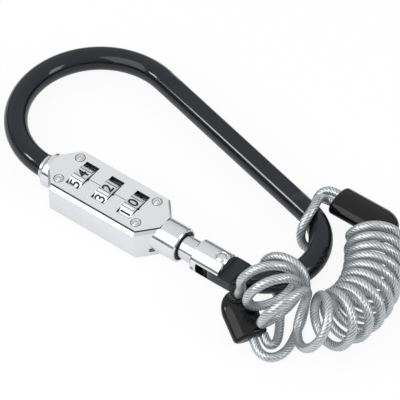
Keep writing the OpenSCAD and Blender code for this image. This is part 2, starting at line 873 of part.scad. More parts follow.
hook_rod();
nose_collar();
nose_pin();
hinge_block();
hinge_rivet();
spindle();
cross_pin();
housing();
face_plate();
plate_rivets();
detent_spring();
guide_pin();
neck_bush();
dial(0);  // dial_1
dial(1);  // dial_2
dial(2);  // dial_3
sleeve(0);  // sleeve_1
sleeve(1);  // sleeve_2
sleeve(2);  // sleeve_3
cable_coil();
cable_eye_1();
cable_eye_2();
ferrule_1();
ferrule_2();
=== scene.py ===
"""Looks of the combination lock: chromed barrel, black enamelled hook, and a self-coiling cable of twisted
steel in clear vinyl. Places on the lock are in millimetres from the hinge rivet, at the height of the
barrel's axis. PIVOT takes them to the part's frame, and mm() to metres."""
import math

import bpy
import numpy as np
from mathutils import Matrix, Vector


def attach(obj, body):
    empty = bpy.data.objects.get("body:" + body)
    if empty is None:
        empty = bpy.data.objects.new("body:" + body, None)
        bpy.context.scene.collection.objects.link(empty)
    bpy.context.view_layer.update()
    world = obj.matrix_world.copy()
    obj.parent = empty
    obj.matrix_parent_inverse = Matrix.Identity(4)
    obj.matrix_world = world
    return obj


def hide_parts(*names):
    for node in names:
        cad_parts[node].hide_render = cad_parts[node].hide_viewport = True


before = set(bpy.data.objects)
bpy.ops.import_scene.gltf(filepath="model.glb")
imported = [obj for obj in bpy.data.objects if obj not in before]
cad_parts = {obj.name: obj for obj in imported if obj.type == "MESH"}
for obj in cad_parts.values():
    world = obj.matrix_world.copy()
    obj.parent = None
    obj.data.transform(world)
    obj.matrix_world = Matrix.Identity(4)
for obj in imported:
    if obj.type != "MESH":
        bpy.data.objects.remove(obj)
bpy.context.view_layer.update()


def mm(value):
    """Millimetres to metres."""
    return np.asarray(value, float) * 0.001


def unit(v):
    """Vectors of length one."""
    v = np.asarray(v, float)
    return v / np.linalg.norm(v, axis=-1, keepdims=True)


FULL_TURN = 2 * math.pi

# ---------------------------------------------------------------- places and sizes of the lock

PIVOT = np.array([45.05, -28.4, 8.4276])

# the dials: their middles along the barrel, and the hollow seats that lie between ten ribs on each
DIAL_X = (-65.6, -53.5, -41.4)
DIAL_PITCH = DIAL_X[2] - DIAL_X[1]
DIAL_RADIUS = 8.7
SEAT_RADIUS = 8.05
RIB_WIDTH = 1.1
DIGITS = 10
TOP_DIGITS = (4, 2, 0)

# the face plate: its underside, its windows and the holes of its four posts, from the middle dial
DECK_Z = 6.1
WINDOW_W = 5.9
WINDOW_L = 12.9
POST_OFF = (18.4, 6.5)
POST_HOLE = 1.95

# the coil's middle line is a cubic curve that these four points pull, and it starts and ends at these angles
CABLE_D = 3.4
COIL_R = 9.8
TURN_GAP = 0.55
COIL_PULLS = np.array([[24, -4, 13.5], [50, -25, 11.6], [66, 13, 0.2], [39, 42, 4.4]], float)
COIL_FROM = 300
COIL_TO = 60

# the sleeves that hold the cable's ends: the middles of their tail and mouth ends, and their sizes
FERRULE_1_ENDS = np.array([[37.7, 53, 0], [17.2, 53, 0]], float)
FERRULE_2_ENDS = np.array([[14.5, -11, 1.5], [24.9, -16.5, -3.4]], float)
FERRULE_W = 13.4
FERRULE_T = 8.0
MOUTH_L = 2.6

# the cable leaves the lower sleeve by a collar on its top, and reaches the upper one at its side
COLLAR_WAY = unit([0.3, 0, 0.95])
COLLAR_REACH = 4.8
COLLAR_TOP = FERRULE_2_ENDS[0] + COLLAR_REACH * COLLAR_WAY
TAIL_WAY = np.array([0.0, -1.0, 0.0])
TAIL_REACH = 7.2
TAIL_END = FERRULE_1_ENDS[0] + TAIL_REACH * TAIL_WAY
LEAD_PULL = 5
TAIL_PULL = 3

# the eyes: where their strands leave the sleeves, to either side of the middle, and the points they pass
STRAND_GAP = 4.7
EYE_1_SIDES = (STRAND_GAP / 2, -STRAND_GAP / 2)
EYE_2_SIDES = (0.5, STRAND_GAP + 0.1)
MOUTH_RUN = 1.5
EYE_1_WAY = [
    [11.2, 49.2, 1.4], [11.2, 46.6, 4.2], [12.1, 43.4, 6.3], [13.2, 40, 7.2], [13.8, 36.5, 6.8],
    [13.7, 32.8, 4.4], [13.9, 30.6, 1], [15, 29.8, -3], [16.8, 30.8, -5.8], [18.2, 34, -6.5],
    [15.8, 38.5, -6.5], [12, 43, -6.5], [8.6, 46.8, -5.6], [6.8, 50.4, -3], [7.4, 53.6, -0.9],
    [10, 55.1, -0.1],
]
EYE_2_WAY = [
    [32.4, -20, -6.2], [36.6, -19.6, -6.6], [39.2, -16, -6.6], [39.4, -11, -6.6], [37.8, -5, -6.6],
    [35.8, 1.5, -6], [33.4, 7, -3], [31, 10.5, 2], [28, 12.3, 6.2], [23, 12.2, 8.5],
    [17.5, 11.5, 7.8], [13.6, 10.4, 5], [12, 9.6, 1], [12.6, 9.4, -3.4], [15, 9.2, -6.2],
    [19.5, 7.4, -6.6], [24.5, 3.4, -6.6], [28.5, -2, -6.6], [31.8, -7, -6.6], [34, -11, -6.6],
    [34.4, -14, -6.5], [33, -15.4, -6],
]

# ---------------------------------------------------------------- camera

VIEW_BACK = unit([0.408, -0.5234, 0.748])
VIEW_UP = [-0.45, 0.598, 0.6635]
VIEW_MIDDLE = mm([18.46, -6.77, 8.475])
VIEW_WIDTH = 0.15065
VIEW_DISTANCE = 1.3
SENSOR = 36.0

camera_data = bpy.data.cameras.new("camera")
camera_data.sensor_width = SENSOR
camera_data.lens = SENSOR * VIEW_DISTANCE / VIEW_WIDTH
camera_data.clip_start = 0.05
camera_data.clip_end = 20
camera = bpy.data.objects.new("camera", camera_data)
bpy.context.scene.collection.objects.link(camera)
camera.location = VIEW_MIDDLE + VIEW_DISTANCE * VIEW_BACK
view_right = unit(np.cross(VIEW_UP, VIEW_BACK))
view_up = np.cross(VIEW_BACK, view_right)
camera.rotation_euler = Matrix(np.stack([view_right, view_up, VIEW_BACK], 1).tolist()).to_euler()
bpy.context.scene.camera = camera
bpy.context.scene.view_settings.view_transform = "Standard"

# ---------------------------------------------------------------- routes of the cable


def smooth_path(points, steps):
    """A smooth curve through the points, with some steps from each to the next (uniform Catmull-Rom)."""
    p = np.asarray(points, float)
    i = np.arange(len(p) - 1)
    a = p[np.maximum(i - 1, 0)][:, None]
    b = p[i][:, None]
    c = p[i + 1][:, None]
    d = p[np.minimum(i + 2, len(p) - 1)][:, None]
    t = (np.arange(steps) / steps)[None, :, None]
    slope = c - a
    bend = 2 * a - 5 * b + 4 * c - d
    twist = 3 * b - a - 3 * c + d
    q = 0.5 * (2 * b + slope * t + bend * t**2 + twist * t**3)
    return np.vstack([q.reshape(-1, 3), p[-1:]])


def cubic(p, t):
    """The cubic (Bezier) curve that four points pull, at shares t of its way."""
    s = 1 - t
    return p[0] * s**3 + p[1] * 3 * s * s * t + p[2] * 3 * s * t * t + p[3] * t**3


def cubic_slope(p, t):
    """How fast the curve moves along at shares t, as vectors."""
    s = 1 - t
    return 3 * ((p[1] - p[0]) * s * s + (p[2] - p[1]) * 2 * s * t + (p[3] - p[2]) * t * t)


def cubic_change(p, t):
    """How fast that slope changes at shares t."""
    return 6 * ((p[2] - 2 * p[1] + p[0]) * (1 - t) + (p[3] - 2 * p[2] + p[1]) * t)


def lead(start, leave, end, arrive, pull_start, pull_end, steps):
    """A cubic curve from start to end that leaves and arrives along two directions, without its two ends."""
    t = (np.arange(1, steps) / steps)[:, None]
    return cubic([start, start + leave * pull_start, end - arrive * pull_end, end], t)


MIDDLE_STEPS = 400


def coil_line(rings_per_turn):
    """The left-handed coil: a circle of radius COIL_R carried along a cubic middle line, which it goes
    round once for each cable's width and gap run on the inside of the bend."""
    t = ((np.arange(MIDDLE_STEPS) + 0.5) / MIDDLE_STEPS)[:, None]
    slope = cubic_slope(COIL_PULLS, t)
    speed = np.linalg.norm(slope, axis=1)
    bend = np.linalg.norm(np.cross(slope, cubic_change(COIL_PULLS, t)), axis=1) / speed**3
    turns_at = np.cumsum(speed * (1 - COIL_R * bend) / (CABLE_D + TURN_GAP) / MIDDLE_STEPS)
    sums = np.concatenate([[0], turns_at])
    part_turn = (COIL_TO - COIL_FROM + 360) / 360
    turns = math.floor(sums[-1] - part_turn) + part_turn
    rings = round(turns * rings_per_turn)
    w = np.arange(rings + 1) / rings * turns
    t = np.interp(w, sums * turns / sums[-1], np.arange(MIDDLE_STEPS + 1) / MIDDLE_STEPS)[:, None]
    ahead = unit(cubic_slope(COIL_PULLS, t))
    across = unit(np.stack([-ahead[:, 1], ahead[:, 0], 0 * w], 1))
    up = np.cross(ahead, across)
    a = np.radians(COIL_FROM + 360 * w)[:, None]
    return cubic(COIL_PULLS, t) + COIL_R * (np.cos(a) * up + np.sin(a) * across)


def cable_route(rings_per_turn, steps):
    """From the collar on the lower sleeve through the coil to the side of the upper one."""
    coil = coil_line(rings_per_turn)
    first = unit(coil[1] - coil[0])
    last = unit(coil[-1] - coil[-2])
    out = COLLAR_TOP + CABLE_D * COLLAR_WAY
    back = TAIL_END + CABLE_D * TAIL_WAY
    return np.vstack([
        COLLAR_TOP,
        out,
        lead(out, COLLAR_WAY, coil[0], first, LEAD_PULL, LEAD_PULL, steps),
        coil,
        lead(coil[-1], last, back, -TAIL_WAY, LEAD_PULL, TAIL_PULL, 2 * steps),
        back,
        TAIL_END,
    ])


def eye_route(ends, way, sides, steps):
    """A loop that leaves a sleeve's mouth and comes back into it."""
    u = unit(ends[1] - ends[0])
    side = unit([-u[1], u[0], 0])
    a = ends[1] + MOUTH_L * u + sides[0] * side
    b = ends[1] + MOUTH_L * u + sides[1] * side
    loop = smooth_path(np.vstack([a + MOUTH_RUN * u, way, b + MOUTH_RUN * u]), steps)
    return np.vstack([a, loop, b])


def even_line(points, step):
    """The same line with points an even step apart, and the length run at each."""
    seg = np.linalg.norm(np.diff(points, axis=0), axis=1)
    run = np.concatenate([[0], np.cumsum(seg)])
    n = max(int(round(run[-1] / step)), 2)
    s = np.linspace(0, run[-1], n + 1)
    return np.stack([np.interp(s, run, points[:, i]) for i in range(3)], 1), s


EASE_STEP = 0.5
EASE_TIMES = 12


def eased(points):
    """The same line with its tight corners rounded: each point moves to the mean of its neighbours, many
    times."""
    p, _ = even_line(points, EASE_STEP)
    for _ in range(EASE_TIMES):
        p[1:-1] = (p[:-2] + 2 * p[1:-1] + p[2:]) / 4
    return p


# ---------------------------------------------------------------- making meshes


def make_piece(name, points, faces, smooth=True):
    """A mesh from points in metres and faces of three or four corners."""
    mesh = bpy.data.meshes.new(name)
    mesh.from_pydata(np.asarray(points).tolist(), [], [tuple(f) for f in faces])
    mesh.validate()
    mesh.update()
    if smooth:
        mesh.shade_smooth()
    obj = bpy.data.objects.new(name, mesh)
    bpy.context.scene.collection.objects.link(obj)
    return obj


def closed_loft(grid, first, last):
    """Points and outward faces of a closed skin through rings of points, with a point at the middle of
    each end."""
    n, around = grid.shape[:2]
    k = np.arange(around)
    k2 = (k + 1) % around
    i = np.arange(n - 1)[:, None] * around
    sides = np.stack([i + k, i + k2, i + around + k2, i + around + k], -1).reshape(-1, 4)
    start = np.stack([k2, k, np.full(around, n * around)], 1)
    end = np.stack([(n - 1) * around + k, (n - 1) * around + k2, np.full(around, n * around + 1)], 1)
    points = np.vstack([grid.reshape(-1, 3), first, last])
    return points, sides.tolist() + start.tolist() + end.tolist()


def carried_sides(line):
    """Two directions square to a line and to each other, which turn as little as they can along it."""
    d = unit(np.gradient(line, axis=0))
    side = np.empty_like(d)
    s = unit(np.cross(d[0], [0.3, 0.2, 1.0]))  # the line doesn't start along this, so it gives a side
    for i in range(len(d)):
        s = s - (s @ d[i]) * d[i]
        s = s / np.linalg.norm(s)
        side[i] = s
    return side, np.cross(d, side)


# the rope has eight broad wires with a long lay, coarser than the real strand of many fine wires, so that
# they show: their crests stand a little over the cable's radius, and the grooves lie lower by the relief
WIRES = 8
LAY_LENGTH = 11.0
CREST_RISE = 0.08
WIRE_RELIEF = 0.05
AROUND_ROPE = 48
ROPE_STEP = 0.55


def rope(name, line):
    """A tube whose outline has one low crest over each outer wire, and turns once in each lay length.
    Radius: the cable's and the crest's rise, less the relief times how far the angle is from the nearest
    crest, squared. In the UV map, U counts wires round the outline, and V runs along it in centimetres."""
    p, s = even_line(line, ROPE_STEP)
    side, up = carried_sides(p)
    share = np.arange(AROUND_ROPE) / AROUND_ROPE
    off = np.abs(((share * WIRES) % 1) - 0.5) * 2
    radius = CABLE_D / 2 + CREST_RISE - WIRE_RELIEF * off**2
    angle = FULL_TURN * (share + (s / LAY_LENGTH)[:, None])
    ring = np.cos(angle)[..., None] * side[:, None] + np.sin(angle)[..., None] * up[:, None]
    points, faces = closed_loft(p[:, None] + radius[:, None] * ring, p[0], p[-1])
    piece = make_piece(name, mm(points + PIVOT), faces)

    mesh = piece.data
    corner = np.empty(len(mesh.loops), dtype=np.int64)
    mesh.loops.foreach_get("vertex_index", corner)
    u = np.append(np.tile(share * WIRES, len(p)), [0, 0])[corner]
    v = np.append(np.repeat(s, AROUND_ROPE), [0, s[-1]])[corner] * 0.1
    # the faces that close the round take the last share of the outline, not the first
    face = np.repeat(np.arange(len(faces)), [len(f) for f in faces])
    on_side = face < (len(p) - 1) * AROUND_ROPE
    closing = on_side & (face % AROUND_ROPE == AROUND_ROPE - 1) & (corner % AROUND_ROPE == 0)
    u[closing] = WIRES
    layer = mesh.uv_layers.new(name="lay")
    layer.data.foreach_set("uv", np.stack([u, v], 1).astype(np.float32).ravel())
    return piece


# ---------------------------------------------------------------- the cable

EYES = {
    "cable_eye_1": (FERRULE_1_ENDS, EYE_1_WAY, EYE_1_SIDES),
    "cable_eye_2": (FERRULE_2_ENDS, EYE_2_WAY, EYE_2_SIDES),
}
# a coarse line for each cord, which the script doesn't use further, and a fine one for the rope
ROUTES = {"cable_coil": (cable_route(rings_per_turn=24, steps=8), cable_route(rings_per_turn=48, steps=24))}
for node, eye in EYES.items():
    ROUTES[node] = (eye_route(*eye, steps=3), eased(eye_route(*eye, steps=12)))

CABLES = []
for node, (coarse, fine_line) in ROUTES.items():
    piece = rope(node + "_rope", fine_line)
    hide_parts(node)
    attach(piece, "hook")
    CABLES.append(piece)

# ---------------------------------------------------------------- making materials


def colour(code):
    """Linear colour from an sRGB hex code."""
    c = np.array([int(code[i : i + 2], 16) for i in (1, 3, 5)]) / 255
    c = np.where(c <= 0.04045, c / 12.92, ((c + 0.055) / 1.055) ** 2.4)
    return (*c.tolist(), 1.0)


def material(name):
    """A new node material, and its principled shader."""
    m = bpy.data.materials.new(name)
    m.use_nodes = True
    return m, m.node_tree.nodes["Principled BSDF"]


def add(m, kind, settings=None, links=None, stops=()):
    """Adds a node to a material or world. Settings go to its properties, or to sockets by name or number,
    and links are {socket: (node, output)}. Stops are a colour ramp's places and tones: hex codes, or
    shares of white."""
    node = m.node_tree.nodes.new(kind)
    for key, value in (settings or {}).items():
        if isinstance(key, str) and hasattr(node, key):
            setattr(node, key, value)
        else:
            node.inputs[key].default_value = value
    for key, (source, output) in (links or {}).items():
        m.node_tree.links.new(source.outputs[output], node.inputs[key])
    if stops:
        band = node.color_ramp.elements
        while len(band) < len(stops):
            band.new(0.5)
        for element, (place, tone) in zip(band, stops):
            element.position = place
            element.color = colour(tone) if isinstance(tone, str) else (tone, tone, tone, 1)
    return node


def join(m, source, output, target, socket):
    """Links two nodes that are there already."""
    m.node_tree.links.new(source.outputs[output], target.inputs[socket])


def set_sockets(shader, **values):
    """Sets the shader's own sockets by name, with underscores for spaces."""
    for key, value in values.items():
        shader.inputs[key.replace("_", " ")].default_value = value


PER_MM = 1000.0  # one pattern cell per millimetre, on coordinates in metres


def wander(m, place, low, high, size_mm, detail=3.0, spread=0.2):
    """A value that wanders between two others over patches of a size in millimetres: noise, stretched so
    that it reaches them at a spread to either side of its middle."""
    scale = {"Scale": PER_MM / size_mm, "Detail": detail}
    noise = add(m, "ShaderNodeTexNoise", scale, {"Vector": (place, "Object")})
    span = {"From Min": 0.5 - spread, "From Max": 0.5 + spread, "To Min": low, "To Max": high}
    return add(m, "ShaderNodeMapRange", span, {"Value": (noise, "Fac")})


def uneven_gloss(m, shader, low, high, size_mm):
    """Lets the roughness wander between two values over patches of a size in millimetres. Returns the
    coordinates, for the material's other patterns."""
    place = add(m, "ShaderNodeTexCoord")
    join(m, wander(m, place, low, high, size_mm), "Result", shader, "Roughness")
    return place


def uneven_surface(m, shader, place, size_mm, height_mm, detail=1.0, stretch=(1, 1, 1)):
    """Gives the surface bumps of a size and height in millimetres. A stretch over one makes them finer
    along that axis, and one under one makes them longer."""
    scaled = add(m, "ShaderNodeMapping", {"Scale": stretch}, {"Vector": (place, "Object")})
    scale = {"Scale": PER_MM / size_mm, "Detail": detail}
    noise = add(m, "ShaderNodeTexNoise", scale, {"Vector": (scaled, "Vector")})
    height = {"Strength": 1.0, "Distance": float(mm(height_mm))}
    join(m, add(m, "ShaderNodeBump", height, {"Height": (noise, "Fac")}), "Normal", shader, "Normal")


def from_point(m, place, point):
    """Coordinates in metres counted from a place on the lock, as X, Y and Z."""
    start = tuple(mm(PIVOT + point).tolist())
    centred = add(m, "ShaderNodeVectorMath", {"operation": "SUBTRACT", 1: start}, {0: (place, "Object")})
    return add(m, "ShaderNodeSeparateXYZ", {}, {"Vector": (centred, "Vector")})


def off_middle(m, source, output, middle):
    """How far a coordinate lies from a middle in millimetres, to either side."""
    off = add(m, "ShaderNodeMath", {"operation": "SUBTRACT", 1: float(mm(middle))}, {0: (source, output)})
    return add(m, "ShaderNodeMath", {"operation": "ABSOLUTE"}, {0: (off, "Value")})


def off_axis(m, first, second):
    """Distance from an axis, by two distances square to it: the root of the sum of their squares."""
    flat = add(m, "ShaderNodeCombineXYZ", {}, {"X": first, "Y": second})
    return add(m, "ShaderNodeVectorMath", {"operation": "LENGTH"}, {0: (flat, "Vector")})


BELOW = "LESS_THAN"
ABOVE = "GREATER_THAN"
ALL_OF = "MULTIPLY"
ANY_OF = "MAXIMUM"


def combined(m, how, parts):
    """One mask from several, 1 where all of them are 1 or where any of them is."""
    whole = parts[0]
    for part in parts[1:]:
        whole = add(m, "ShaderNodeMath", {"operation": how}, {0: (whole, "Value"), 1: (part, "Value")})
    return whole


def where(m, *limits):
    """A mask, 1 where every limit holds and 0 elsewhere. A limit is a node and its output, which give a
    length in metres, then BELOW or ABOVE, and a level in millimetres."""
    parts = []
    for node, output, how, level in limits:
        parts.append(add(m, "ShaderNodeMath", {"operation": how, 1: float(mm(level))}, {0: (node, output)}))
    return combined(m, ALL_OF, parts)


# ---------------------------------------------------------------- materials of the lock
# turning and brushing lines are a few hundredths of a millimetre apart on the real metal, and are drawn
# coarser, so that they show


def baked_enamel():
    """Rod dipped in near-black slate enamel and baked: deep gloss, with a faint orange peel that softens
    highlights."""
    m, s = material("baked_slate_black_enamel_on_steel_rod")
    set_sockets(s, Base_Color=colour("#0b0e18"), IOR=1.5, Specular_IOR_Level=0.45)
    place = uneven_gloss(m, s, low=0.07, high=0.12, size_mm=6)
    uneven_surface(m, s, place, size_mm=5, height_mm=0.006)
    return m


# where the casting is painted dark as shade in its recesses, by station along the barrel and height: the
# dials' pockets, and the mouth of the neck round its bush
POCKETS_FROM = (-69.6, -6.9)
POCKETS_TO = (-37.4, 6.05)
POCKETS_RADIUS = 9.2
MOUTH_FROM = (-18.0, -7.0)
MOUTH_TO = (-17.4, 7.0)
MOUTH_RADIUS = 6.05


def round_space(m, place, low, high, radius):
    """A mask of a round space about the barrel's axis, cut by two stations along it and two heights."""
    split = from_point(m, place, (0, 0, 0))
    reach = off_axis(m, (split, "Y"), (split, "Z"))
    return where(
        m,
        (split, "X", ABOVE, low[0]),
        (split, "X", BELOW, high[0]),
        (split, "Z", ABOVE, low[1]),
        (split, "Z", BELOW, high[1]),
        (reach, "Value", BELOW, radius),
    )


def chromed_die_casting():
    """Zinc cast, polished and chromed: mirror bright, with the slight waviness of polished castings. Painted
    shade darkens the dials' pockets and the neck's mouth round its bush."""
    m, s = material("bright_chrome_on_polished_zinc_casting")
    set_sockets(s, Metallic=1.0)
    place = uneven_gloss(m, s, low=0.1, high=0.17, size_mm=5)
    pockets = round_space(m, place, POCKETS_FROM, POCKETS_TO, POCKETS_RADIUS)
    mouth = round_space(m, place, MOUTH_FROM, MOUTH_TO, MOUTH_RADIUS)
    inside = combined(m, ANY_OF, [pockets, mouth])
    # painted shade: the recesses take a near-black tone in place of the chrome's
    tone = add(m, "ShaderNodeValToRGB", {}, {"Fac": (inside, "Value")}, [(0, "#e4e5e8"), (1, "#1b1c1e")])
    join(m, tone, "Color", s, "Base Color")
    uneven_surface(m, s, place, size_mm=7, height_mm=0.02)
    return m


def chromed_steel():
    """Turned steel, chromed: bright, with hair-fine turning lines round it."""
    m, s = material("bright_chrome_on_turned_steel")
    set_sockets(s, Base_Color=colour("#dcdde0"), Metallic=1.0)
    place = uneven_gloss(m, s, low=0.1, high=0.18, size_mm=3)
    uneven_surface(m, s, place, size_mm=0.35, height_mm=0.0016, stretch=(4, 0.5, 0.5))
    return m


# how far from a hole's wall, and above the plate's underside, painted shade darkens its metal, and how wide
# the index line is
SHADE_RIM = 0.12
SHADE_DEPTH = 0.85
INDEX_LINE = 0.22


def chromed_plate():
    """Rolled plate, stamped, lightly brushed along and chromed: soft bright reflections. Painted shade
    darkens the walls of the windows and posts' holes, and the lower part of the plate's edge along its seam
    with the casting. A dark index line runs from window to window."""
    m, s = material("satin_chrome_on_stamped_plate")
    set_sockets(s, Metallic=1.0)
    place = uneven_gloss(m, s, low=0.2, high=0.28, size_mm=4)
    split = from_point(m, place, (DIAL_X[1], 0, 0))
    off_x = off_middle(m, split, "X", 0)
    off_y = off_middle(m, split, "Y", 0)
    # painted shade along the lower part of the plate's edge, where it meets the casting
    dark = [where(m, (split, "Z", BELOW, DECK_Z + SHADE_DEPTH))]
    for middle in (0, DIAL_PITCH):
        near = off_middle(m, off_x, "Value", middle)
        dark.append(where(
            m,
            (near, "Value", BELOW, WINDOW_W / 2 + SHADE_RIM),
            (off_y, "Value", BELOW, WINDOW_L / 2 + SHADE_RIM),
        ))
    post_x = off_middle(m, off_x, "Value", POST_OFF[0])
    post_y = off_middle(m, off_y, "Value", POST_OFF[1])
    reach = off_axis(m, (post_x, "Value"), (post_y, "Value"))
    dark.append(where(m, (reach, "Value", BELOW, POST_HOLE + SHADE_RIM)))
    dark.append(where(
        m,
        (off_y, "Value", BELOW, INDEX_LINE / 2),
        (off_x, "Value", ABOVE, WINDOW_W / 2),
        (off_x, "Value", BELOW, DIAL_PITCH - WINDOW_W / 2),
    ))
    shade_and_index_mask = combined(m, ANY_OF, dark)
    # the painted shade on walls, holes and lower edge, and the printed index line, take the dark tone
    tone = add(m, "ShaderNodeValToRGB", {}, {"Fac": (shade_and_index_mask, "Value")}, [(0, "#f2f3f5"), (1, "#2c2d30")])
    join(m, tone, "Color", s, "Base Color")
    uneven_surface(m, s, place, size_mm=0.3, height_mm=0.0012, stretch=(0.2, 3, 1))
    return m


def turned_bare_steel():
    """Bare turned steel pin: greyer than chrome, with visible turning lines."""
    m, s = material("turned_bare_steel")
    set_sockets(s, Base_Color=colour("#8f9194"), Metallic=1.0)
    place = uneven_gloss(m, s, low=0.26, high=0.4, size_mm=2)
    uneven_surface(m, s, place, size_mm=0.4, height_mm=0.003, stretch=(5, 1, 1))
    return m


def rolled_spring_steel():
    """Cold rolled spring strip: dark, straw-grey and smooth along its length."""
    m, s = material("cold_rolled_spring_steel")
    set_sockets(s, Base_Color=colour("#77797c"), Metallic=1.0)
    place = uneven_gloss(m, s, low=0.22, high=0.34, size_mm=3)
    uneven_surface(m, s, place, size_mm=0.5, height_mm=0.002, stretch=(0.2, 3, 1))
    return m


def moulded_acetal():
    """Moulded black acetal bush: dull, waxy sheen."""
    m, s = material("moulded_black_acetal")
    set_sockets(s, Base_Color=colour("#161617"), IOR=1.48)
    place = uneven_gloss(m, s, low=0.42, high=0.55, size_mm=1.5)
    uneven_surface(m, s, place, size_mm=0.6, height_mm=0.004, detail=2.0)
    return m


# the nickel's tones from below the seats (0) out to the ribs' tops (1), with painted shade low down and on
# the ribs' flanks
SEAT_DEPTH = 0.7
NICKEL_AND_PAINTED_SHADE_TONES = [
    (0, "#8e9194"),
    (0.45, "#e2e3e4"),
    (0.82, "#e4e5e6"),
    (0.86, "#5a5d60"),
    (0.965, "#5a5d60"),
    (0.985, "#f0f1f2"),
]


def satin_nickel_dial(x):
    """Die-cast dial, satin nickel plated: pale and silvery on the seats and the ribs' tops, with painted
    shade low down its sides and along the ribs' edges. The tone goes by the distance from the dial's own
    axis."""
    m, s = material(f"satin_nickel_on_cast_dial_{-x:.0f}")
    set_sockets(s, Metallic=1.0)
    place = add(m, "ShaderNodeTexCoord")
    split = from_point(m, place, (x, 0, 0))
    reach = off_axis(m, (split, "Y"), (split, "Z"))
    span = {"From Min": float(mm(SEAT_RADIUS - SEAT_DEPTH)), "From Max": float(mm(DIAL_RADIUS))}
    share = add(m, "ShaderNodeMapRange", span, {"Value": (reach, "Value")})
    # painted shade: darker below the seats and on the ribs' flanks
    tone = add(m, "ShaderNodeValToRGB", {}, {"Fac": (share, "Result")}, NICKEL_AND_PAINTED_SHADE_TONES)
    join(m, tone, "Color", s, "Base Color")
    gloss = wander(m, place, low=0.34, high=0.46, size_mm=1.2, spread=0.5)
    join(m, gloss, "Result", s, "Roughness")
    uneven_surface(m, s, place, size_mm=0.4, height_mm=0.003, detail=2.0)
    return m


def number_ink():
    """Black enamel wiped into the numbers: flat black, a little chalky."""
    m, s = material("black_enamel_number_fill")
    set_sockets(s, Base_Color=colour("#0b0b0c"), IOR=1.5)
    place = uneven_gloss(m, s, low=0.38, high=0.55, size_mm=0.5)
    uneven_surface(m, s, place, size_mm=0.3, height_mm=0.003, detail=2.0)
    return m


def turned_brass():
    """Turned brass sleeve: warm, with turning lines."""
    m, s = material("turned_brass")
    set_sockets(s, Base_Color=colour("#c9a35a"), Metallic=1.0)
    place = uneven_gloss(m, s, low=0.2, high=0.32, size_mm=2)
    uneven_surface(m, s, place, size_mm=0.4, height_mm=0.002, stretch=(5, 1, 1))
    return m


def moulded_black_vinyl():
    """Moulded black vinyl sleeve: very glossy, soft edges and a slight sink in its surface."""
    m, s = material("glossy_moulded_black_vinyl")
    set_sockets(s, Base_Color=colour("#0a0a0c"), IOR=1.52, Specular_IOR_Level=0.3)
    place = uneven_gloss(m, s, low=0.1, high=0.17, size_mm=5)
    uneven_surface(m, s, place, size_mm=4, height_mm=0.02)
    return m


def vinyl_coated_rope():
    """Twisted galvanised wire seen through clear vinyl: pale grey wires with painted shade in the grooves
    between them, under a soft clear gloss that is cloudy in places. U counts the wires round the rope, so
    the tone goes from the shaded groove to the wire's middle and back once for each, and a slow sway keeps
    the bands from looking ruled."""
    m, s = material("clear_vinyl_over_twisted_steel_wire")
    set_sockets(s, Metallic=0.75, IOR=1.53, Coat_Weight=0.8, Coat_Roughness=0.12, Coat_IOR=1.53)
    place = add(m, "ShaderNodeTexCoord")
    split = add(m, "ShaderNodeSeparateXYZ", {}, {"Vector": (place, "UV")})
    sway = wander(m, place, low=-0.16, high=0.16, size_mm=2.5, detail=2.0, spread=0.5)
    across = add(m, "ShaderNodeMath", {"operation": "ADD"}, {0: (split, "X"), 1: (sway, "Result")})
    groove = add(m, "ShaderNodeMath", {"operation": "PINGPONG", 1: 0.5}, {0: (across, "Value")})
    # painted shade: the tone darkens towards each groove between the wires
    wires = [(0, "#666b6f"), (0.2, "#9fa4a7"), (0.5, "#e6e8e9")]
    tone = add(m, "ShaderNodeValToRGB", {}, {"Fac": (groove, "Value")}, wires)
    haze = wander(m, place, low=0, high=0.75, size_mm=1.4, detail=2.0, spread=0.15)
    # sockets 6 and 7 of a mix of colours are its two colours, and output 2 is the mixed one
    cloudy = {"data_type": "RGBA", 7: colour("#c3c7ca")}
    seen = add(m, "ShaderNodeMix", cloudy, {"Factor": (haze, "Result"), 6: (tone, "Color")})
    join(m, seen, 2, s, "Base Color")
    gloss = wander(m, place, low=0.24, high=0.38, size_mm=2, detail=2.0, spread=0.5)
    join(m, gloss, "Result", s, "Roughness")
    depth = {"Strength": 0.7, "Distance": float(mm(0.1))}
    join(m, add(m, "ShaderNodeBump", depth, {"Height": (groove, "Value")}), "Normal", s, "Normal")
    return m


INK = number_ink()
VINYL = moulded_black_vinyl()
ROPE = vinyl_coated_rope()

NODE_MATERIALS = {
    baked_enamel(): ["hook_rod"],
    chromed_die_casting(): ["housing", "hinge_block"],
    chromed_steel(): ["nose_collar", "spindle", "hinge_rivet", "plate_rivets"],
    chromed_plate(): ["face_plate"],
    turned_bare_steel(): ["nose_pin", "cross_pin", "guide_pin"],
    rolled_spring_steel(): ["detent_spring"],
    moulded_acetal(): ["neck_bush"],
    **{satin_nickel_dial(x): [f"dial_{i}"] for i, x in enumerate(DIAL_X, 1)},
    turned_brass(): ["sleeve_1", "sleeve_2", "sleeve_3"],
    VINYL: ["ferrule_1", "ferrule_2"],
    ROPE: ["cable_coil", "cable_eye_1", "cable_eye_2"],
}
for surface, nodes in NODE_MATERIALS.items():
    for node in nodes:
        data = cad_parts[node].data
        data.materials.clear()
        data.materials.append(surface)
for piece in CABLES:
    piece.data.materials.append(ROPE)

# ---------------------------------------------------------------- sleeves at the ends of the cable

# how far the dome of the tail and the rounding of the mouth reach, and the dome's first angle in degrees
TAIL_ROUND = 8.5
MOUTH_ROUND = 1.5
TAIL_FROM = 3
END_RINGS = 22
MIDDLE_RINGS = 6
AROUND_SLEEVE = 72


def round_angles(count):
    """Angles an even step apart, once round."""
    return np.arange(count) / count * FULL_TURN


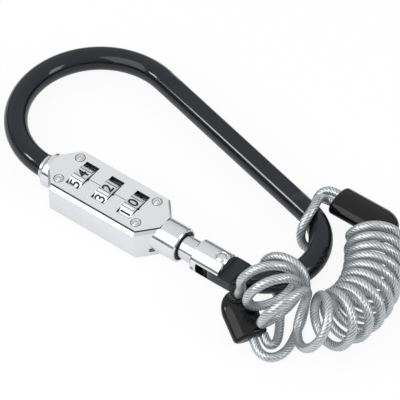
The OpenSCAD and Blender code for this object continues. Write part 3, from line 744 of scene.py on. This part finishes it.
def sleeve(name, ends):
    """A moulded sleeve of elliptical section with a domed tail. Along it the section grows as a quarter
    of an ellipse over the tail, and draws in as a quarter of a small circle at the mouth."""
    u = unit(ends[1] - ends[0])
    side = unit([-u[1], u[0], 0])
    up = np.cross(u, side)
    start = -FERRULE_T / 2
    stop = np.linalg.norm(ends[1] - ends[0]) + MOUTH_L
    tail = np.radians(np.linspace(TAIL_FROM, 90, END_RINGS))
    mouth = tail - tail[0]
    tail_x = start + TAIL_ROUND * (1 - np.cos(tail))
    middle_x = np.linspace(tail_x[-1], stop, MIDDLE_RINGS + 2)[1:-1]
    mouth_x = stop - MOUTH_ROUND * (1 - np.sin(mouth))
    x = np.concatenate([tail_x, middle_x, mouth_x])
    share = np.concatenate([np.sin(tail), np.ones(MIDDLE_RINGS + END_RINGS)])
    less = np.concatenate([np.zeros(END_RINGS + MIDDLE_RINGS), MOUTH_ROUND * (1 - np.cos(mouth))])
    angle = round_angles(AROUND_SLEEVE)
    across = (share * (FERRULE_W / 2 - less))[:, None] * np.cos(angle)
    tall = (share * (FERRULE_T / 2 - less))[:, None] * np.sin(angle)
    grid = ends[0] + x[:, None, None] * u + across[..., None] * side + tall[..., None] * up
    points, faces = closed_loft(grid, ends[0] + start * u, ends[0] + stop * u)
    return make_piece(name, mm(points + PIVOT), faces)


COLLAR_L = 3.0
COLLAR_ROOT = CABLE_D / 2 + 1.5
COLLAR_LIP = CABLE_D / 2 + 0.9
AROUND_COLLAR = 40
# radii at shares of the collar's length
COLLAR_PROFILE = np.array([
    (0, COLLAR_ROOT),
    (0.6, COLLAR_ROOT - 0.05),
    (0.85, (COLLAR_ROOT + COLLAR_LIP) / 2 + 0.12),
    (0.97, COLLAR_LIP),
    (1, COLLAR_LIP - 0.25),
])


def strand_collar(name, stop, way):
    """The cone round the strand that leaves a sleeve: a profile of radii turned round the strand's
    direction, from the wide root inside the sleeve to the lip, where it stops."""
    side = unit(np.cross(way, [0.2, 0.9, 0.4]))  # neither strand leaves along this, so it gives a side
    up = np.cross(way, side)
    along, radius = COLLAR_PROFILE.T
    along = COLLAR_L * (along - 1)
    angle = round_angles(AROUND_COLLAR)
    ring = np.cos(angle)[:, None] * side + np.sin(angle)[:, None] * up
    grid = stop + along[:, None, None] * way + radius[:, None, None] * ring
    points, faces = closed_loft(grid, stop - COLLAR_L * way, stop)
    return make_piece(name, mm(points + PIVOT), faces)


for node, ends, stop, way in (
    ("ferrule_1", FERRULE_1_ENDS, TAIL_END, TAIL_WAY),
    ("ferrule_2", FERRULE_2_ENDS, COLLAR_TOP, COLLAR_WAY),
):
    body = sleeve(node + "_sleeve", ends)
    collar = strand_collar(node + "_sleeve_collar", stop, way)
    for piece in (body, collar):
        piece.data.materials.append(VINYL)
        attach(piece, "hook")
    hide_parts(node)

# ---------------------------------------------------------------- numbers on the dials

# the figures' height, width against the font's, height over the seat, added boldness and widest triangle
NUMBER_HEIGHT = 4.6
NUMBER_WIDE = 0.92
NUMBER_RAISE = 0.03
NUMBER_BOLD = 0.02
NUMBER_CUT = 0.6


def number_shape(digit):
    """Flat triangles of one figure, its middle at zero, in millimetres: points (across, up) and faces."""
    curve = bpy.data.curves.new("number", "FONT")
    curve.body = str(digit)
    curve.size = 1.0
    curve.resolution_u = 6
    curve.offset = NUMBER_BOLD
    obj = bpy.data.objects.new("number", curve)
    bpy.context.scene.collection.objects.link(obj)
    bpy.context.view_layer.update()
    seen = obj.evaluated_get(bpy.context.evaluated_depsgraph_get())
    mesh = seen.to_mesh()
    p = np.array([v.co[:] for v in mesh.vertices])[:, :2]
    mesh.calc_loop_triangles()
    f = np.array([t.vertices[:] for t in mesh.loop_triangles])
    seen.to_mesh_clear()
    bpy.data.objects.remove(obj)
    low, high = p.min(0), p.max(0)
    p = (p - (low + high) / 2) / (high[1] - low[1]) * NUMBER_HEIGHT
    return p * [NUMBER_WIDE, 1], f


def cut_finely(p, f, width):
    """Splits each triangle in four until none is wider across than width, so that it can bend."""
    while np.ptp(p[f][:, :, 0], axis=1).max() > width:
        a, b, c = p[f[:, 0]], p[f[:, 1]], p[f[:, 2]]
        n = len(p)
        m = len(f)
        p = np.vstack([p, (a + b) / 2, (b + c) / 2, (c + a) / 2])
        ab = n + np.arange(m)
        bc = ab + m
        ca = bc + m
        f = np.vstack([
            np.stack([f[:, 0], ab, ca], 1),
            np.stack([ab, f[:, 1], bc], 1),
            np.stack([ca, bc, f[:, 2]], 1),
            np.stack([ab, bc, ca], 1),
        ])
    return p, f


def faced_outward(points, faces):
    """The same triangles, each turned so that it faces away from the barrel's axis."""
    a, b, c = (points[faces[:, i]] for i in range(3))
    normal = np.cross(b - a, c - a)
    middle = (a + b + c) / 3
    outward = (normal[:, 1] * middle[:, 1] + normal[:, 2] * middle[:, 2]) > 0
    return np.where(outward[:, None], faces, faces[:, ::-1])


def dial_numbers(index):
    """The ten figures of one dial, each laid on its hollow seat. The seat is a cylinder of radius q whose
    axis lies above it: height = seat radius + q - sqrt(q² - across²)."""
    step = FULL_TURN / DIGITS
    half = step / 2 - math.asin(RIB_WIDTH / 2 / DIAL_RADIUS)
    chord = DIAL_RADIUS * math.sin(half)
    dip = DIAL_RADIUS * math.cos(half) - SEAT_RADIUS
    q = (chord**2 + dip**2) / (2 * dip)
    points, faces, count = [], [], 0
    for k in range(DIGITS):
        p, f = number_shape((TOP_DIGITS[index] + k) % DIGITS)
        p, f = cut_finely(p, f, NUMBER_CUT)
        across = p[:, 0]
        tall = SEAT_RADIUS + q - np.sqrt(q**2 - across**2) + NUMBER_RAISE
        x = DIAL_X[index] - p[:, 1]
        a = k * step
        y = across * math.cos(a) - tall * math.sin(a)
        z = across * math.sin(a) + tall * math.cos(a)
        points.append(np.stack([x, y, z], 1))
        faces.append(f + count)
        count += len(p)
    points = np.vstack(points)
    faces = faced_outward(points, np.vstack(faces))
    piece = make_piece(f"dial_{index + 1}_numbers", mm(points + PIVOT), faces, smooth=False)
    piece.data.materials.append(INK)
    return piece


for index, body in enumerate(("dial_one", "dial_two", "dial_three")):
    numbers = dial_numbers(index)
    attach(numbers, body)

# ---------------------------------------------------------------- table, room and lamps

# how much plain white the table and the room give, to the eye and to what gloss mirrors
WHITE = (1, 1, 1, 1)
TABLE_TO_EYE = 0.92
TABLE_TO_GLOSS = 0.35
ROOM_TO_EYE = 1.0
ROOM_TO_GLOSS = 0.15


def white_share(m, to_eye, to_gloss):
    """The share of plain white in what shows: one straight to the camera, and another in polished metal
    or through clear plastic."""
    light = add(m, "ShaderNodeLightPath")
    eye = add(m, "ShaderNodeMath", {"operation": "MULTIPLY", 1: to_eye}, {0: (light, "Is Camera Ray")})
    rays = {0: (light, "Is Glossy Ray"), 1: (light, "Is Transmission Ray")}
    mirrored = add(m, "ShaderNodeMath", {"operation": "MAXIMUM"}, rays)
    gloss = add(m, "ShaderNodeMath", {"operation": "MULTIPLY", 1: to_gloss}, {0: (mirrored, "Value")})
    return add(m, "ShaderNodeMath", {"operation": "MAXIMUM"}, {0: (eye, "Value"), 1: (gloss, "Value")})


def table_laminate():
    """White table laminate: dull, white to the eye and in polished metal, with a faint shadow under the
    lock."""
    m, s = material("white_table_laminate")
    set_sockets(s, Base_Color=colour("#f2f2f2"), Roughness=0.9)
    glow = add(m, "ShaderNodeEmission", {"Color": WHITE, "Strength": 1.0})
    share = white_share(m, TABLE_TO_EYE, TABLE_TO_GLOSS)
    shaders = {0: (share, "Value"), 1: (s, "BSDF"), 2: (glow, "Emission")}
    mix = add(m, "ShaderNodeMixShader", {}, shaders)
    join(m, mix, "Shader", m.node_tree.nodes["Material Output"], "Surface")
    return m


FLOOR_HALF = 1.6
corners = [(x * FLOOR_HALF, y * FLOOR_HALF, 0) for x, y in ((-1, -1), (1, -1), (1, 1), (-1, 1))]
floor = make_piece("floor", corners, [(0, 1, 2, 3)], smooth=False)
floor.data.materials.append(table_laminate())

# the room's tones by direction, each with where it starts on its axis: from level to straight above, and
# from the near side to the far one
ROOM_BRIGHTNESS = 0.85
ROOM_BANDS = (
    ("Z", 0.0, [(0, 0.12), (0.1, 0.02), (0.2, 0.52), (0.4, 0.82), (1, 1)]),
    ("Y", -0.9, [(0, 0.7), (0.3, 1)]),
)


def studio_world():
    """A studio room: a bright ceiling over walls that are dark low down, dimmer on the near side, and
    plain white where the camera looks. The two bands of tones are multiplied."""
    world = bpy.data.worlds.new("studio")
    bpy.context.scene.world = world
    world.use_nodes = True
    room = world.node_tree.nodes["Background"]
    set_sockets(room, Strength=ROOM_BRIGHTNESS)
    place = add(world, "ShaderNodeTexCoord")
    split = add(world, "ShaderNodeSeparateXYZ", {}, {"Vector": (place, "Generated")})
    bands = {}
    for socket, (axis, start, tones) in enumerate(ROOM_BANDS):
        reach = add(world, "ShaderNodeMapRange", {"From Min": start}, {"Value": (split, axis)})
        band = add(world, "ShaderNodeValToRGB", {}, {"Fac": (reach, "Result")}, tones)
        bands[socket] = (band, "Color")
    tone = add(world, "ShaderNodeVectorMath", {"operation": "MULTIPLY"}, bands)
    join(world, tone, "Vector", room, "Color")
    white = add(world, "ShaderNodeBackground", {"Color": WHITE})
    share = white_share(world, ROOM_TO_EYE, ROOM_TO_GLOSS)
    shaders = {0: (share, "Value"), 1: (room, "Background"), 2: (white, "Background")}
    mix = add(world, "ShaderNodeMixShader", {}, shaders)
    join(world, mix, "Shader", world.node_tree.nodes["World Output"], "Surface")


studio_world()


def lamp(name, place, width, height, watts):
    """A soft box: a flat rectangular lamp aimed at the middle of the lock. Lengths are in metres."""
    data = bpy.data.lights.new(name, "AREA")
    data.shape = "RECTANGLE"
    data.size = width
    data.size_y = height
    data.energy = watts
    obj = bpy.data.objects.new(name, data)
    bpy.context.scene.collection.objects.link(obj)
    obj.location = place
    obj.rotation_euler = (-Vector(place)).to_track_quat("-Z", "Y").to_euler()


lamp("soft_box_front", (-0.1, -0.6, 0.55), width=0.7, height=0.75, watts=2.9)
lamp("small_box_left", (-0.63, -0.55, 0.47), width=0.16, height=0.16, watts=1.1)
lamp("soft_box_right", (0.75, 0.15, 0.5), width=0.3, height=0.4, watts=1.5)
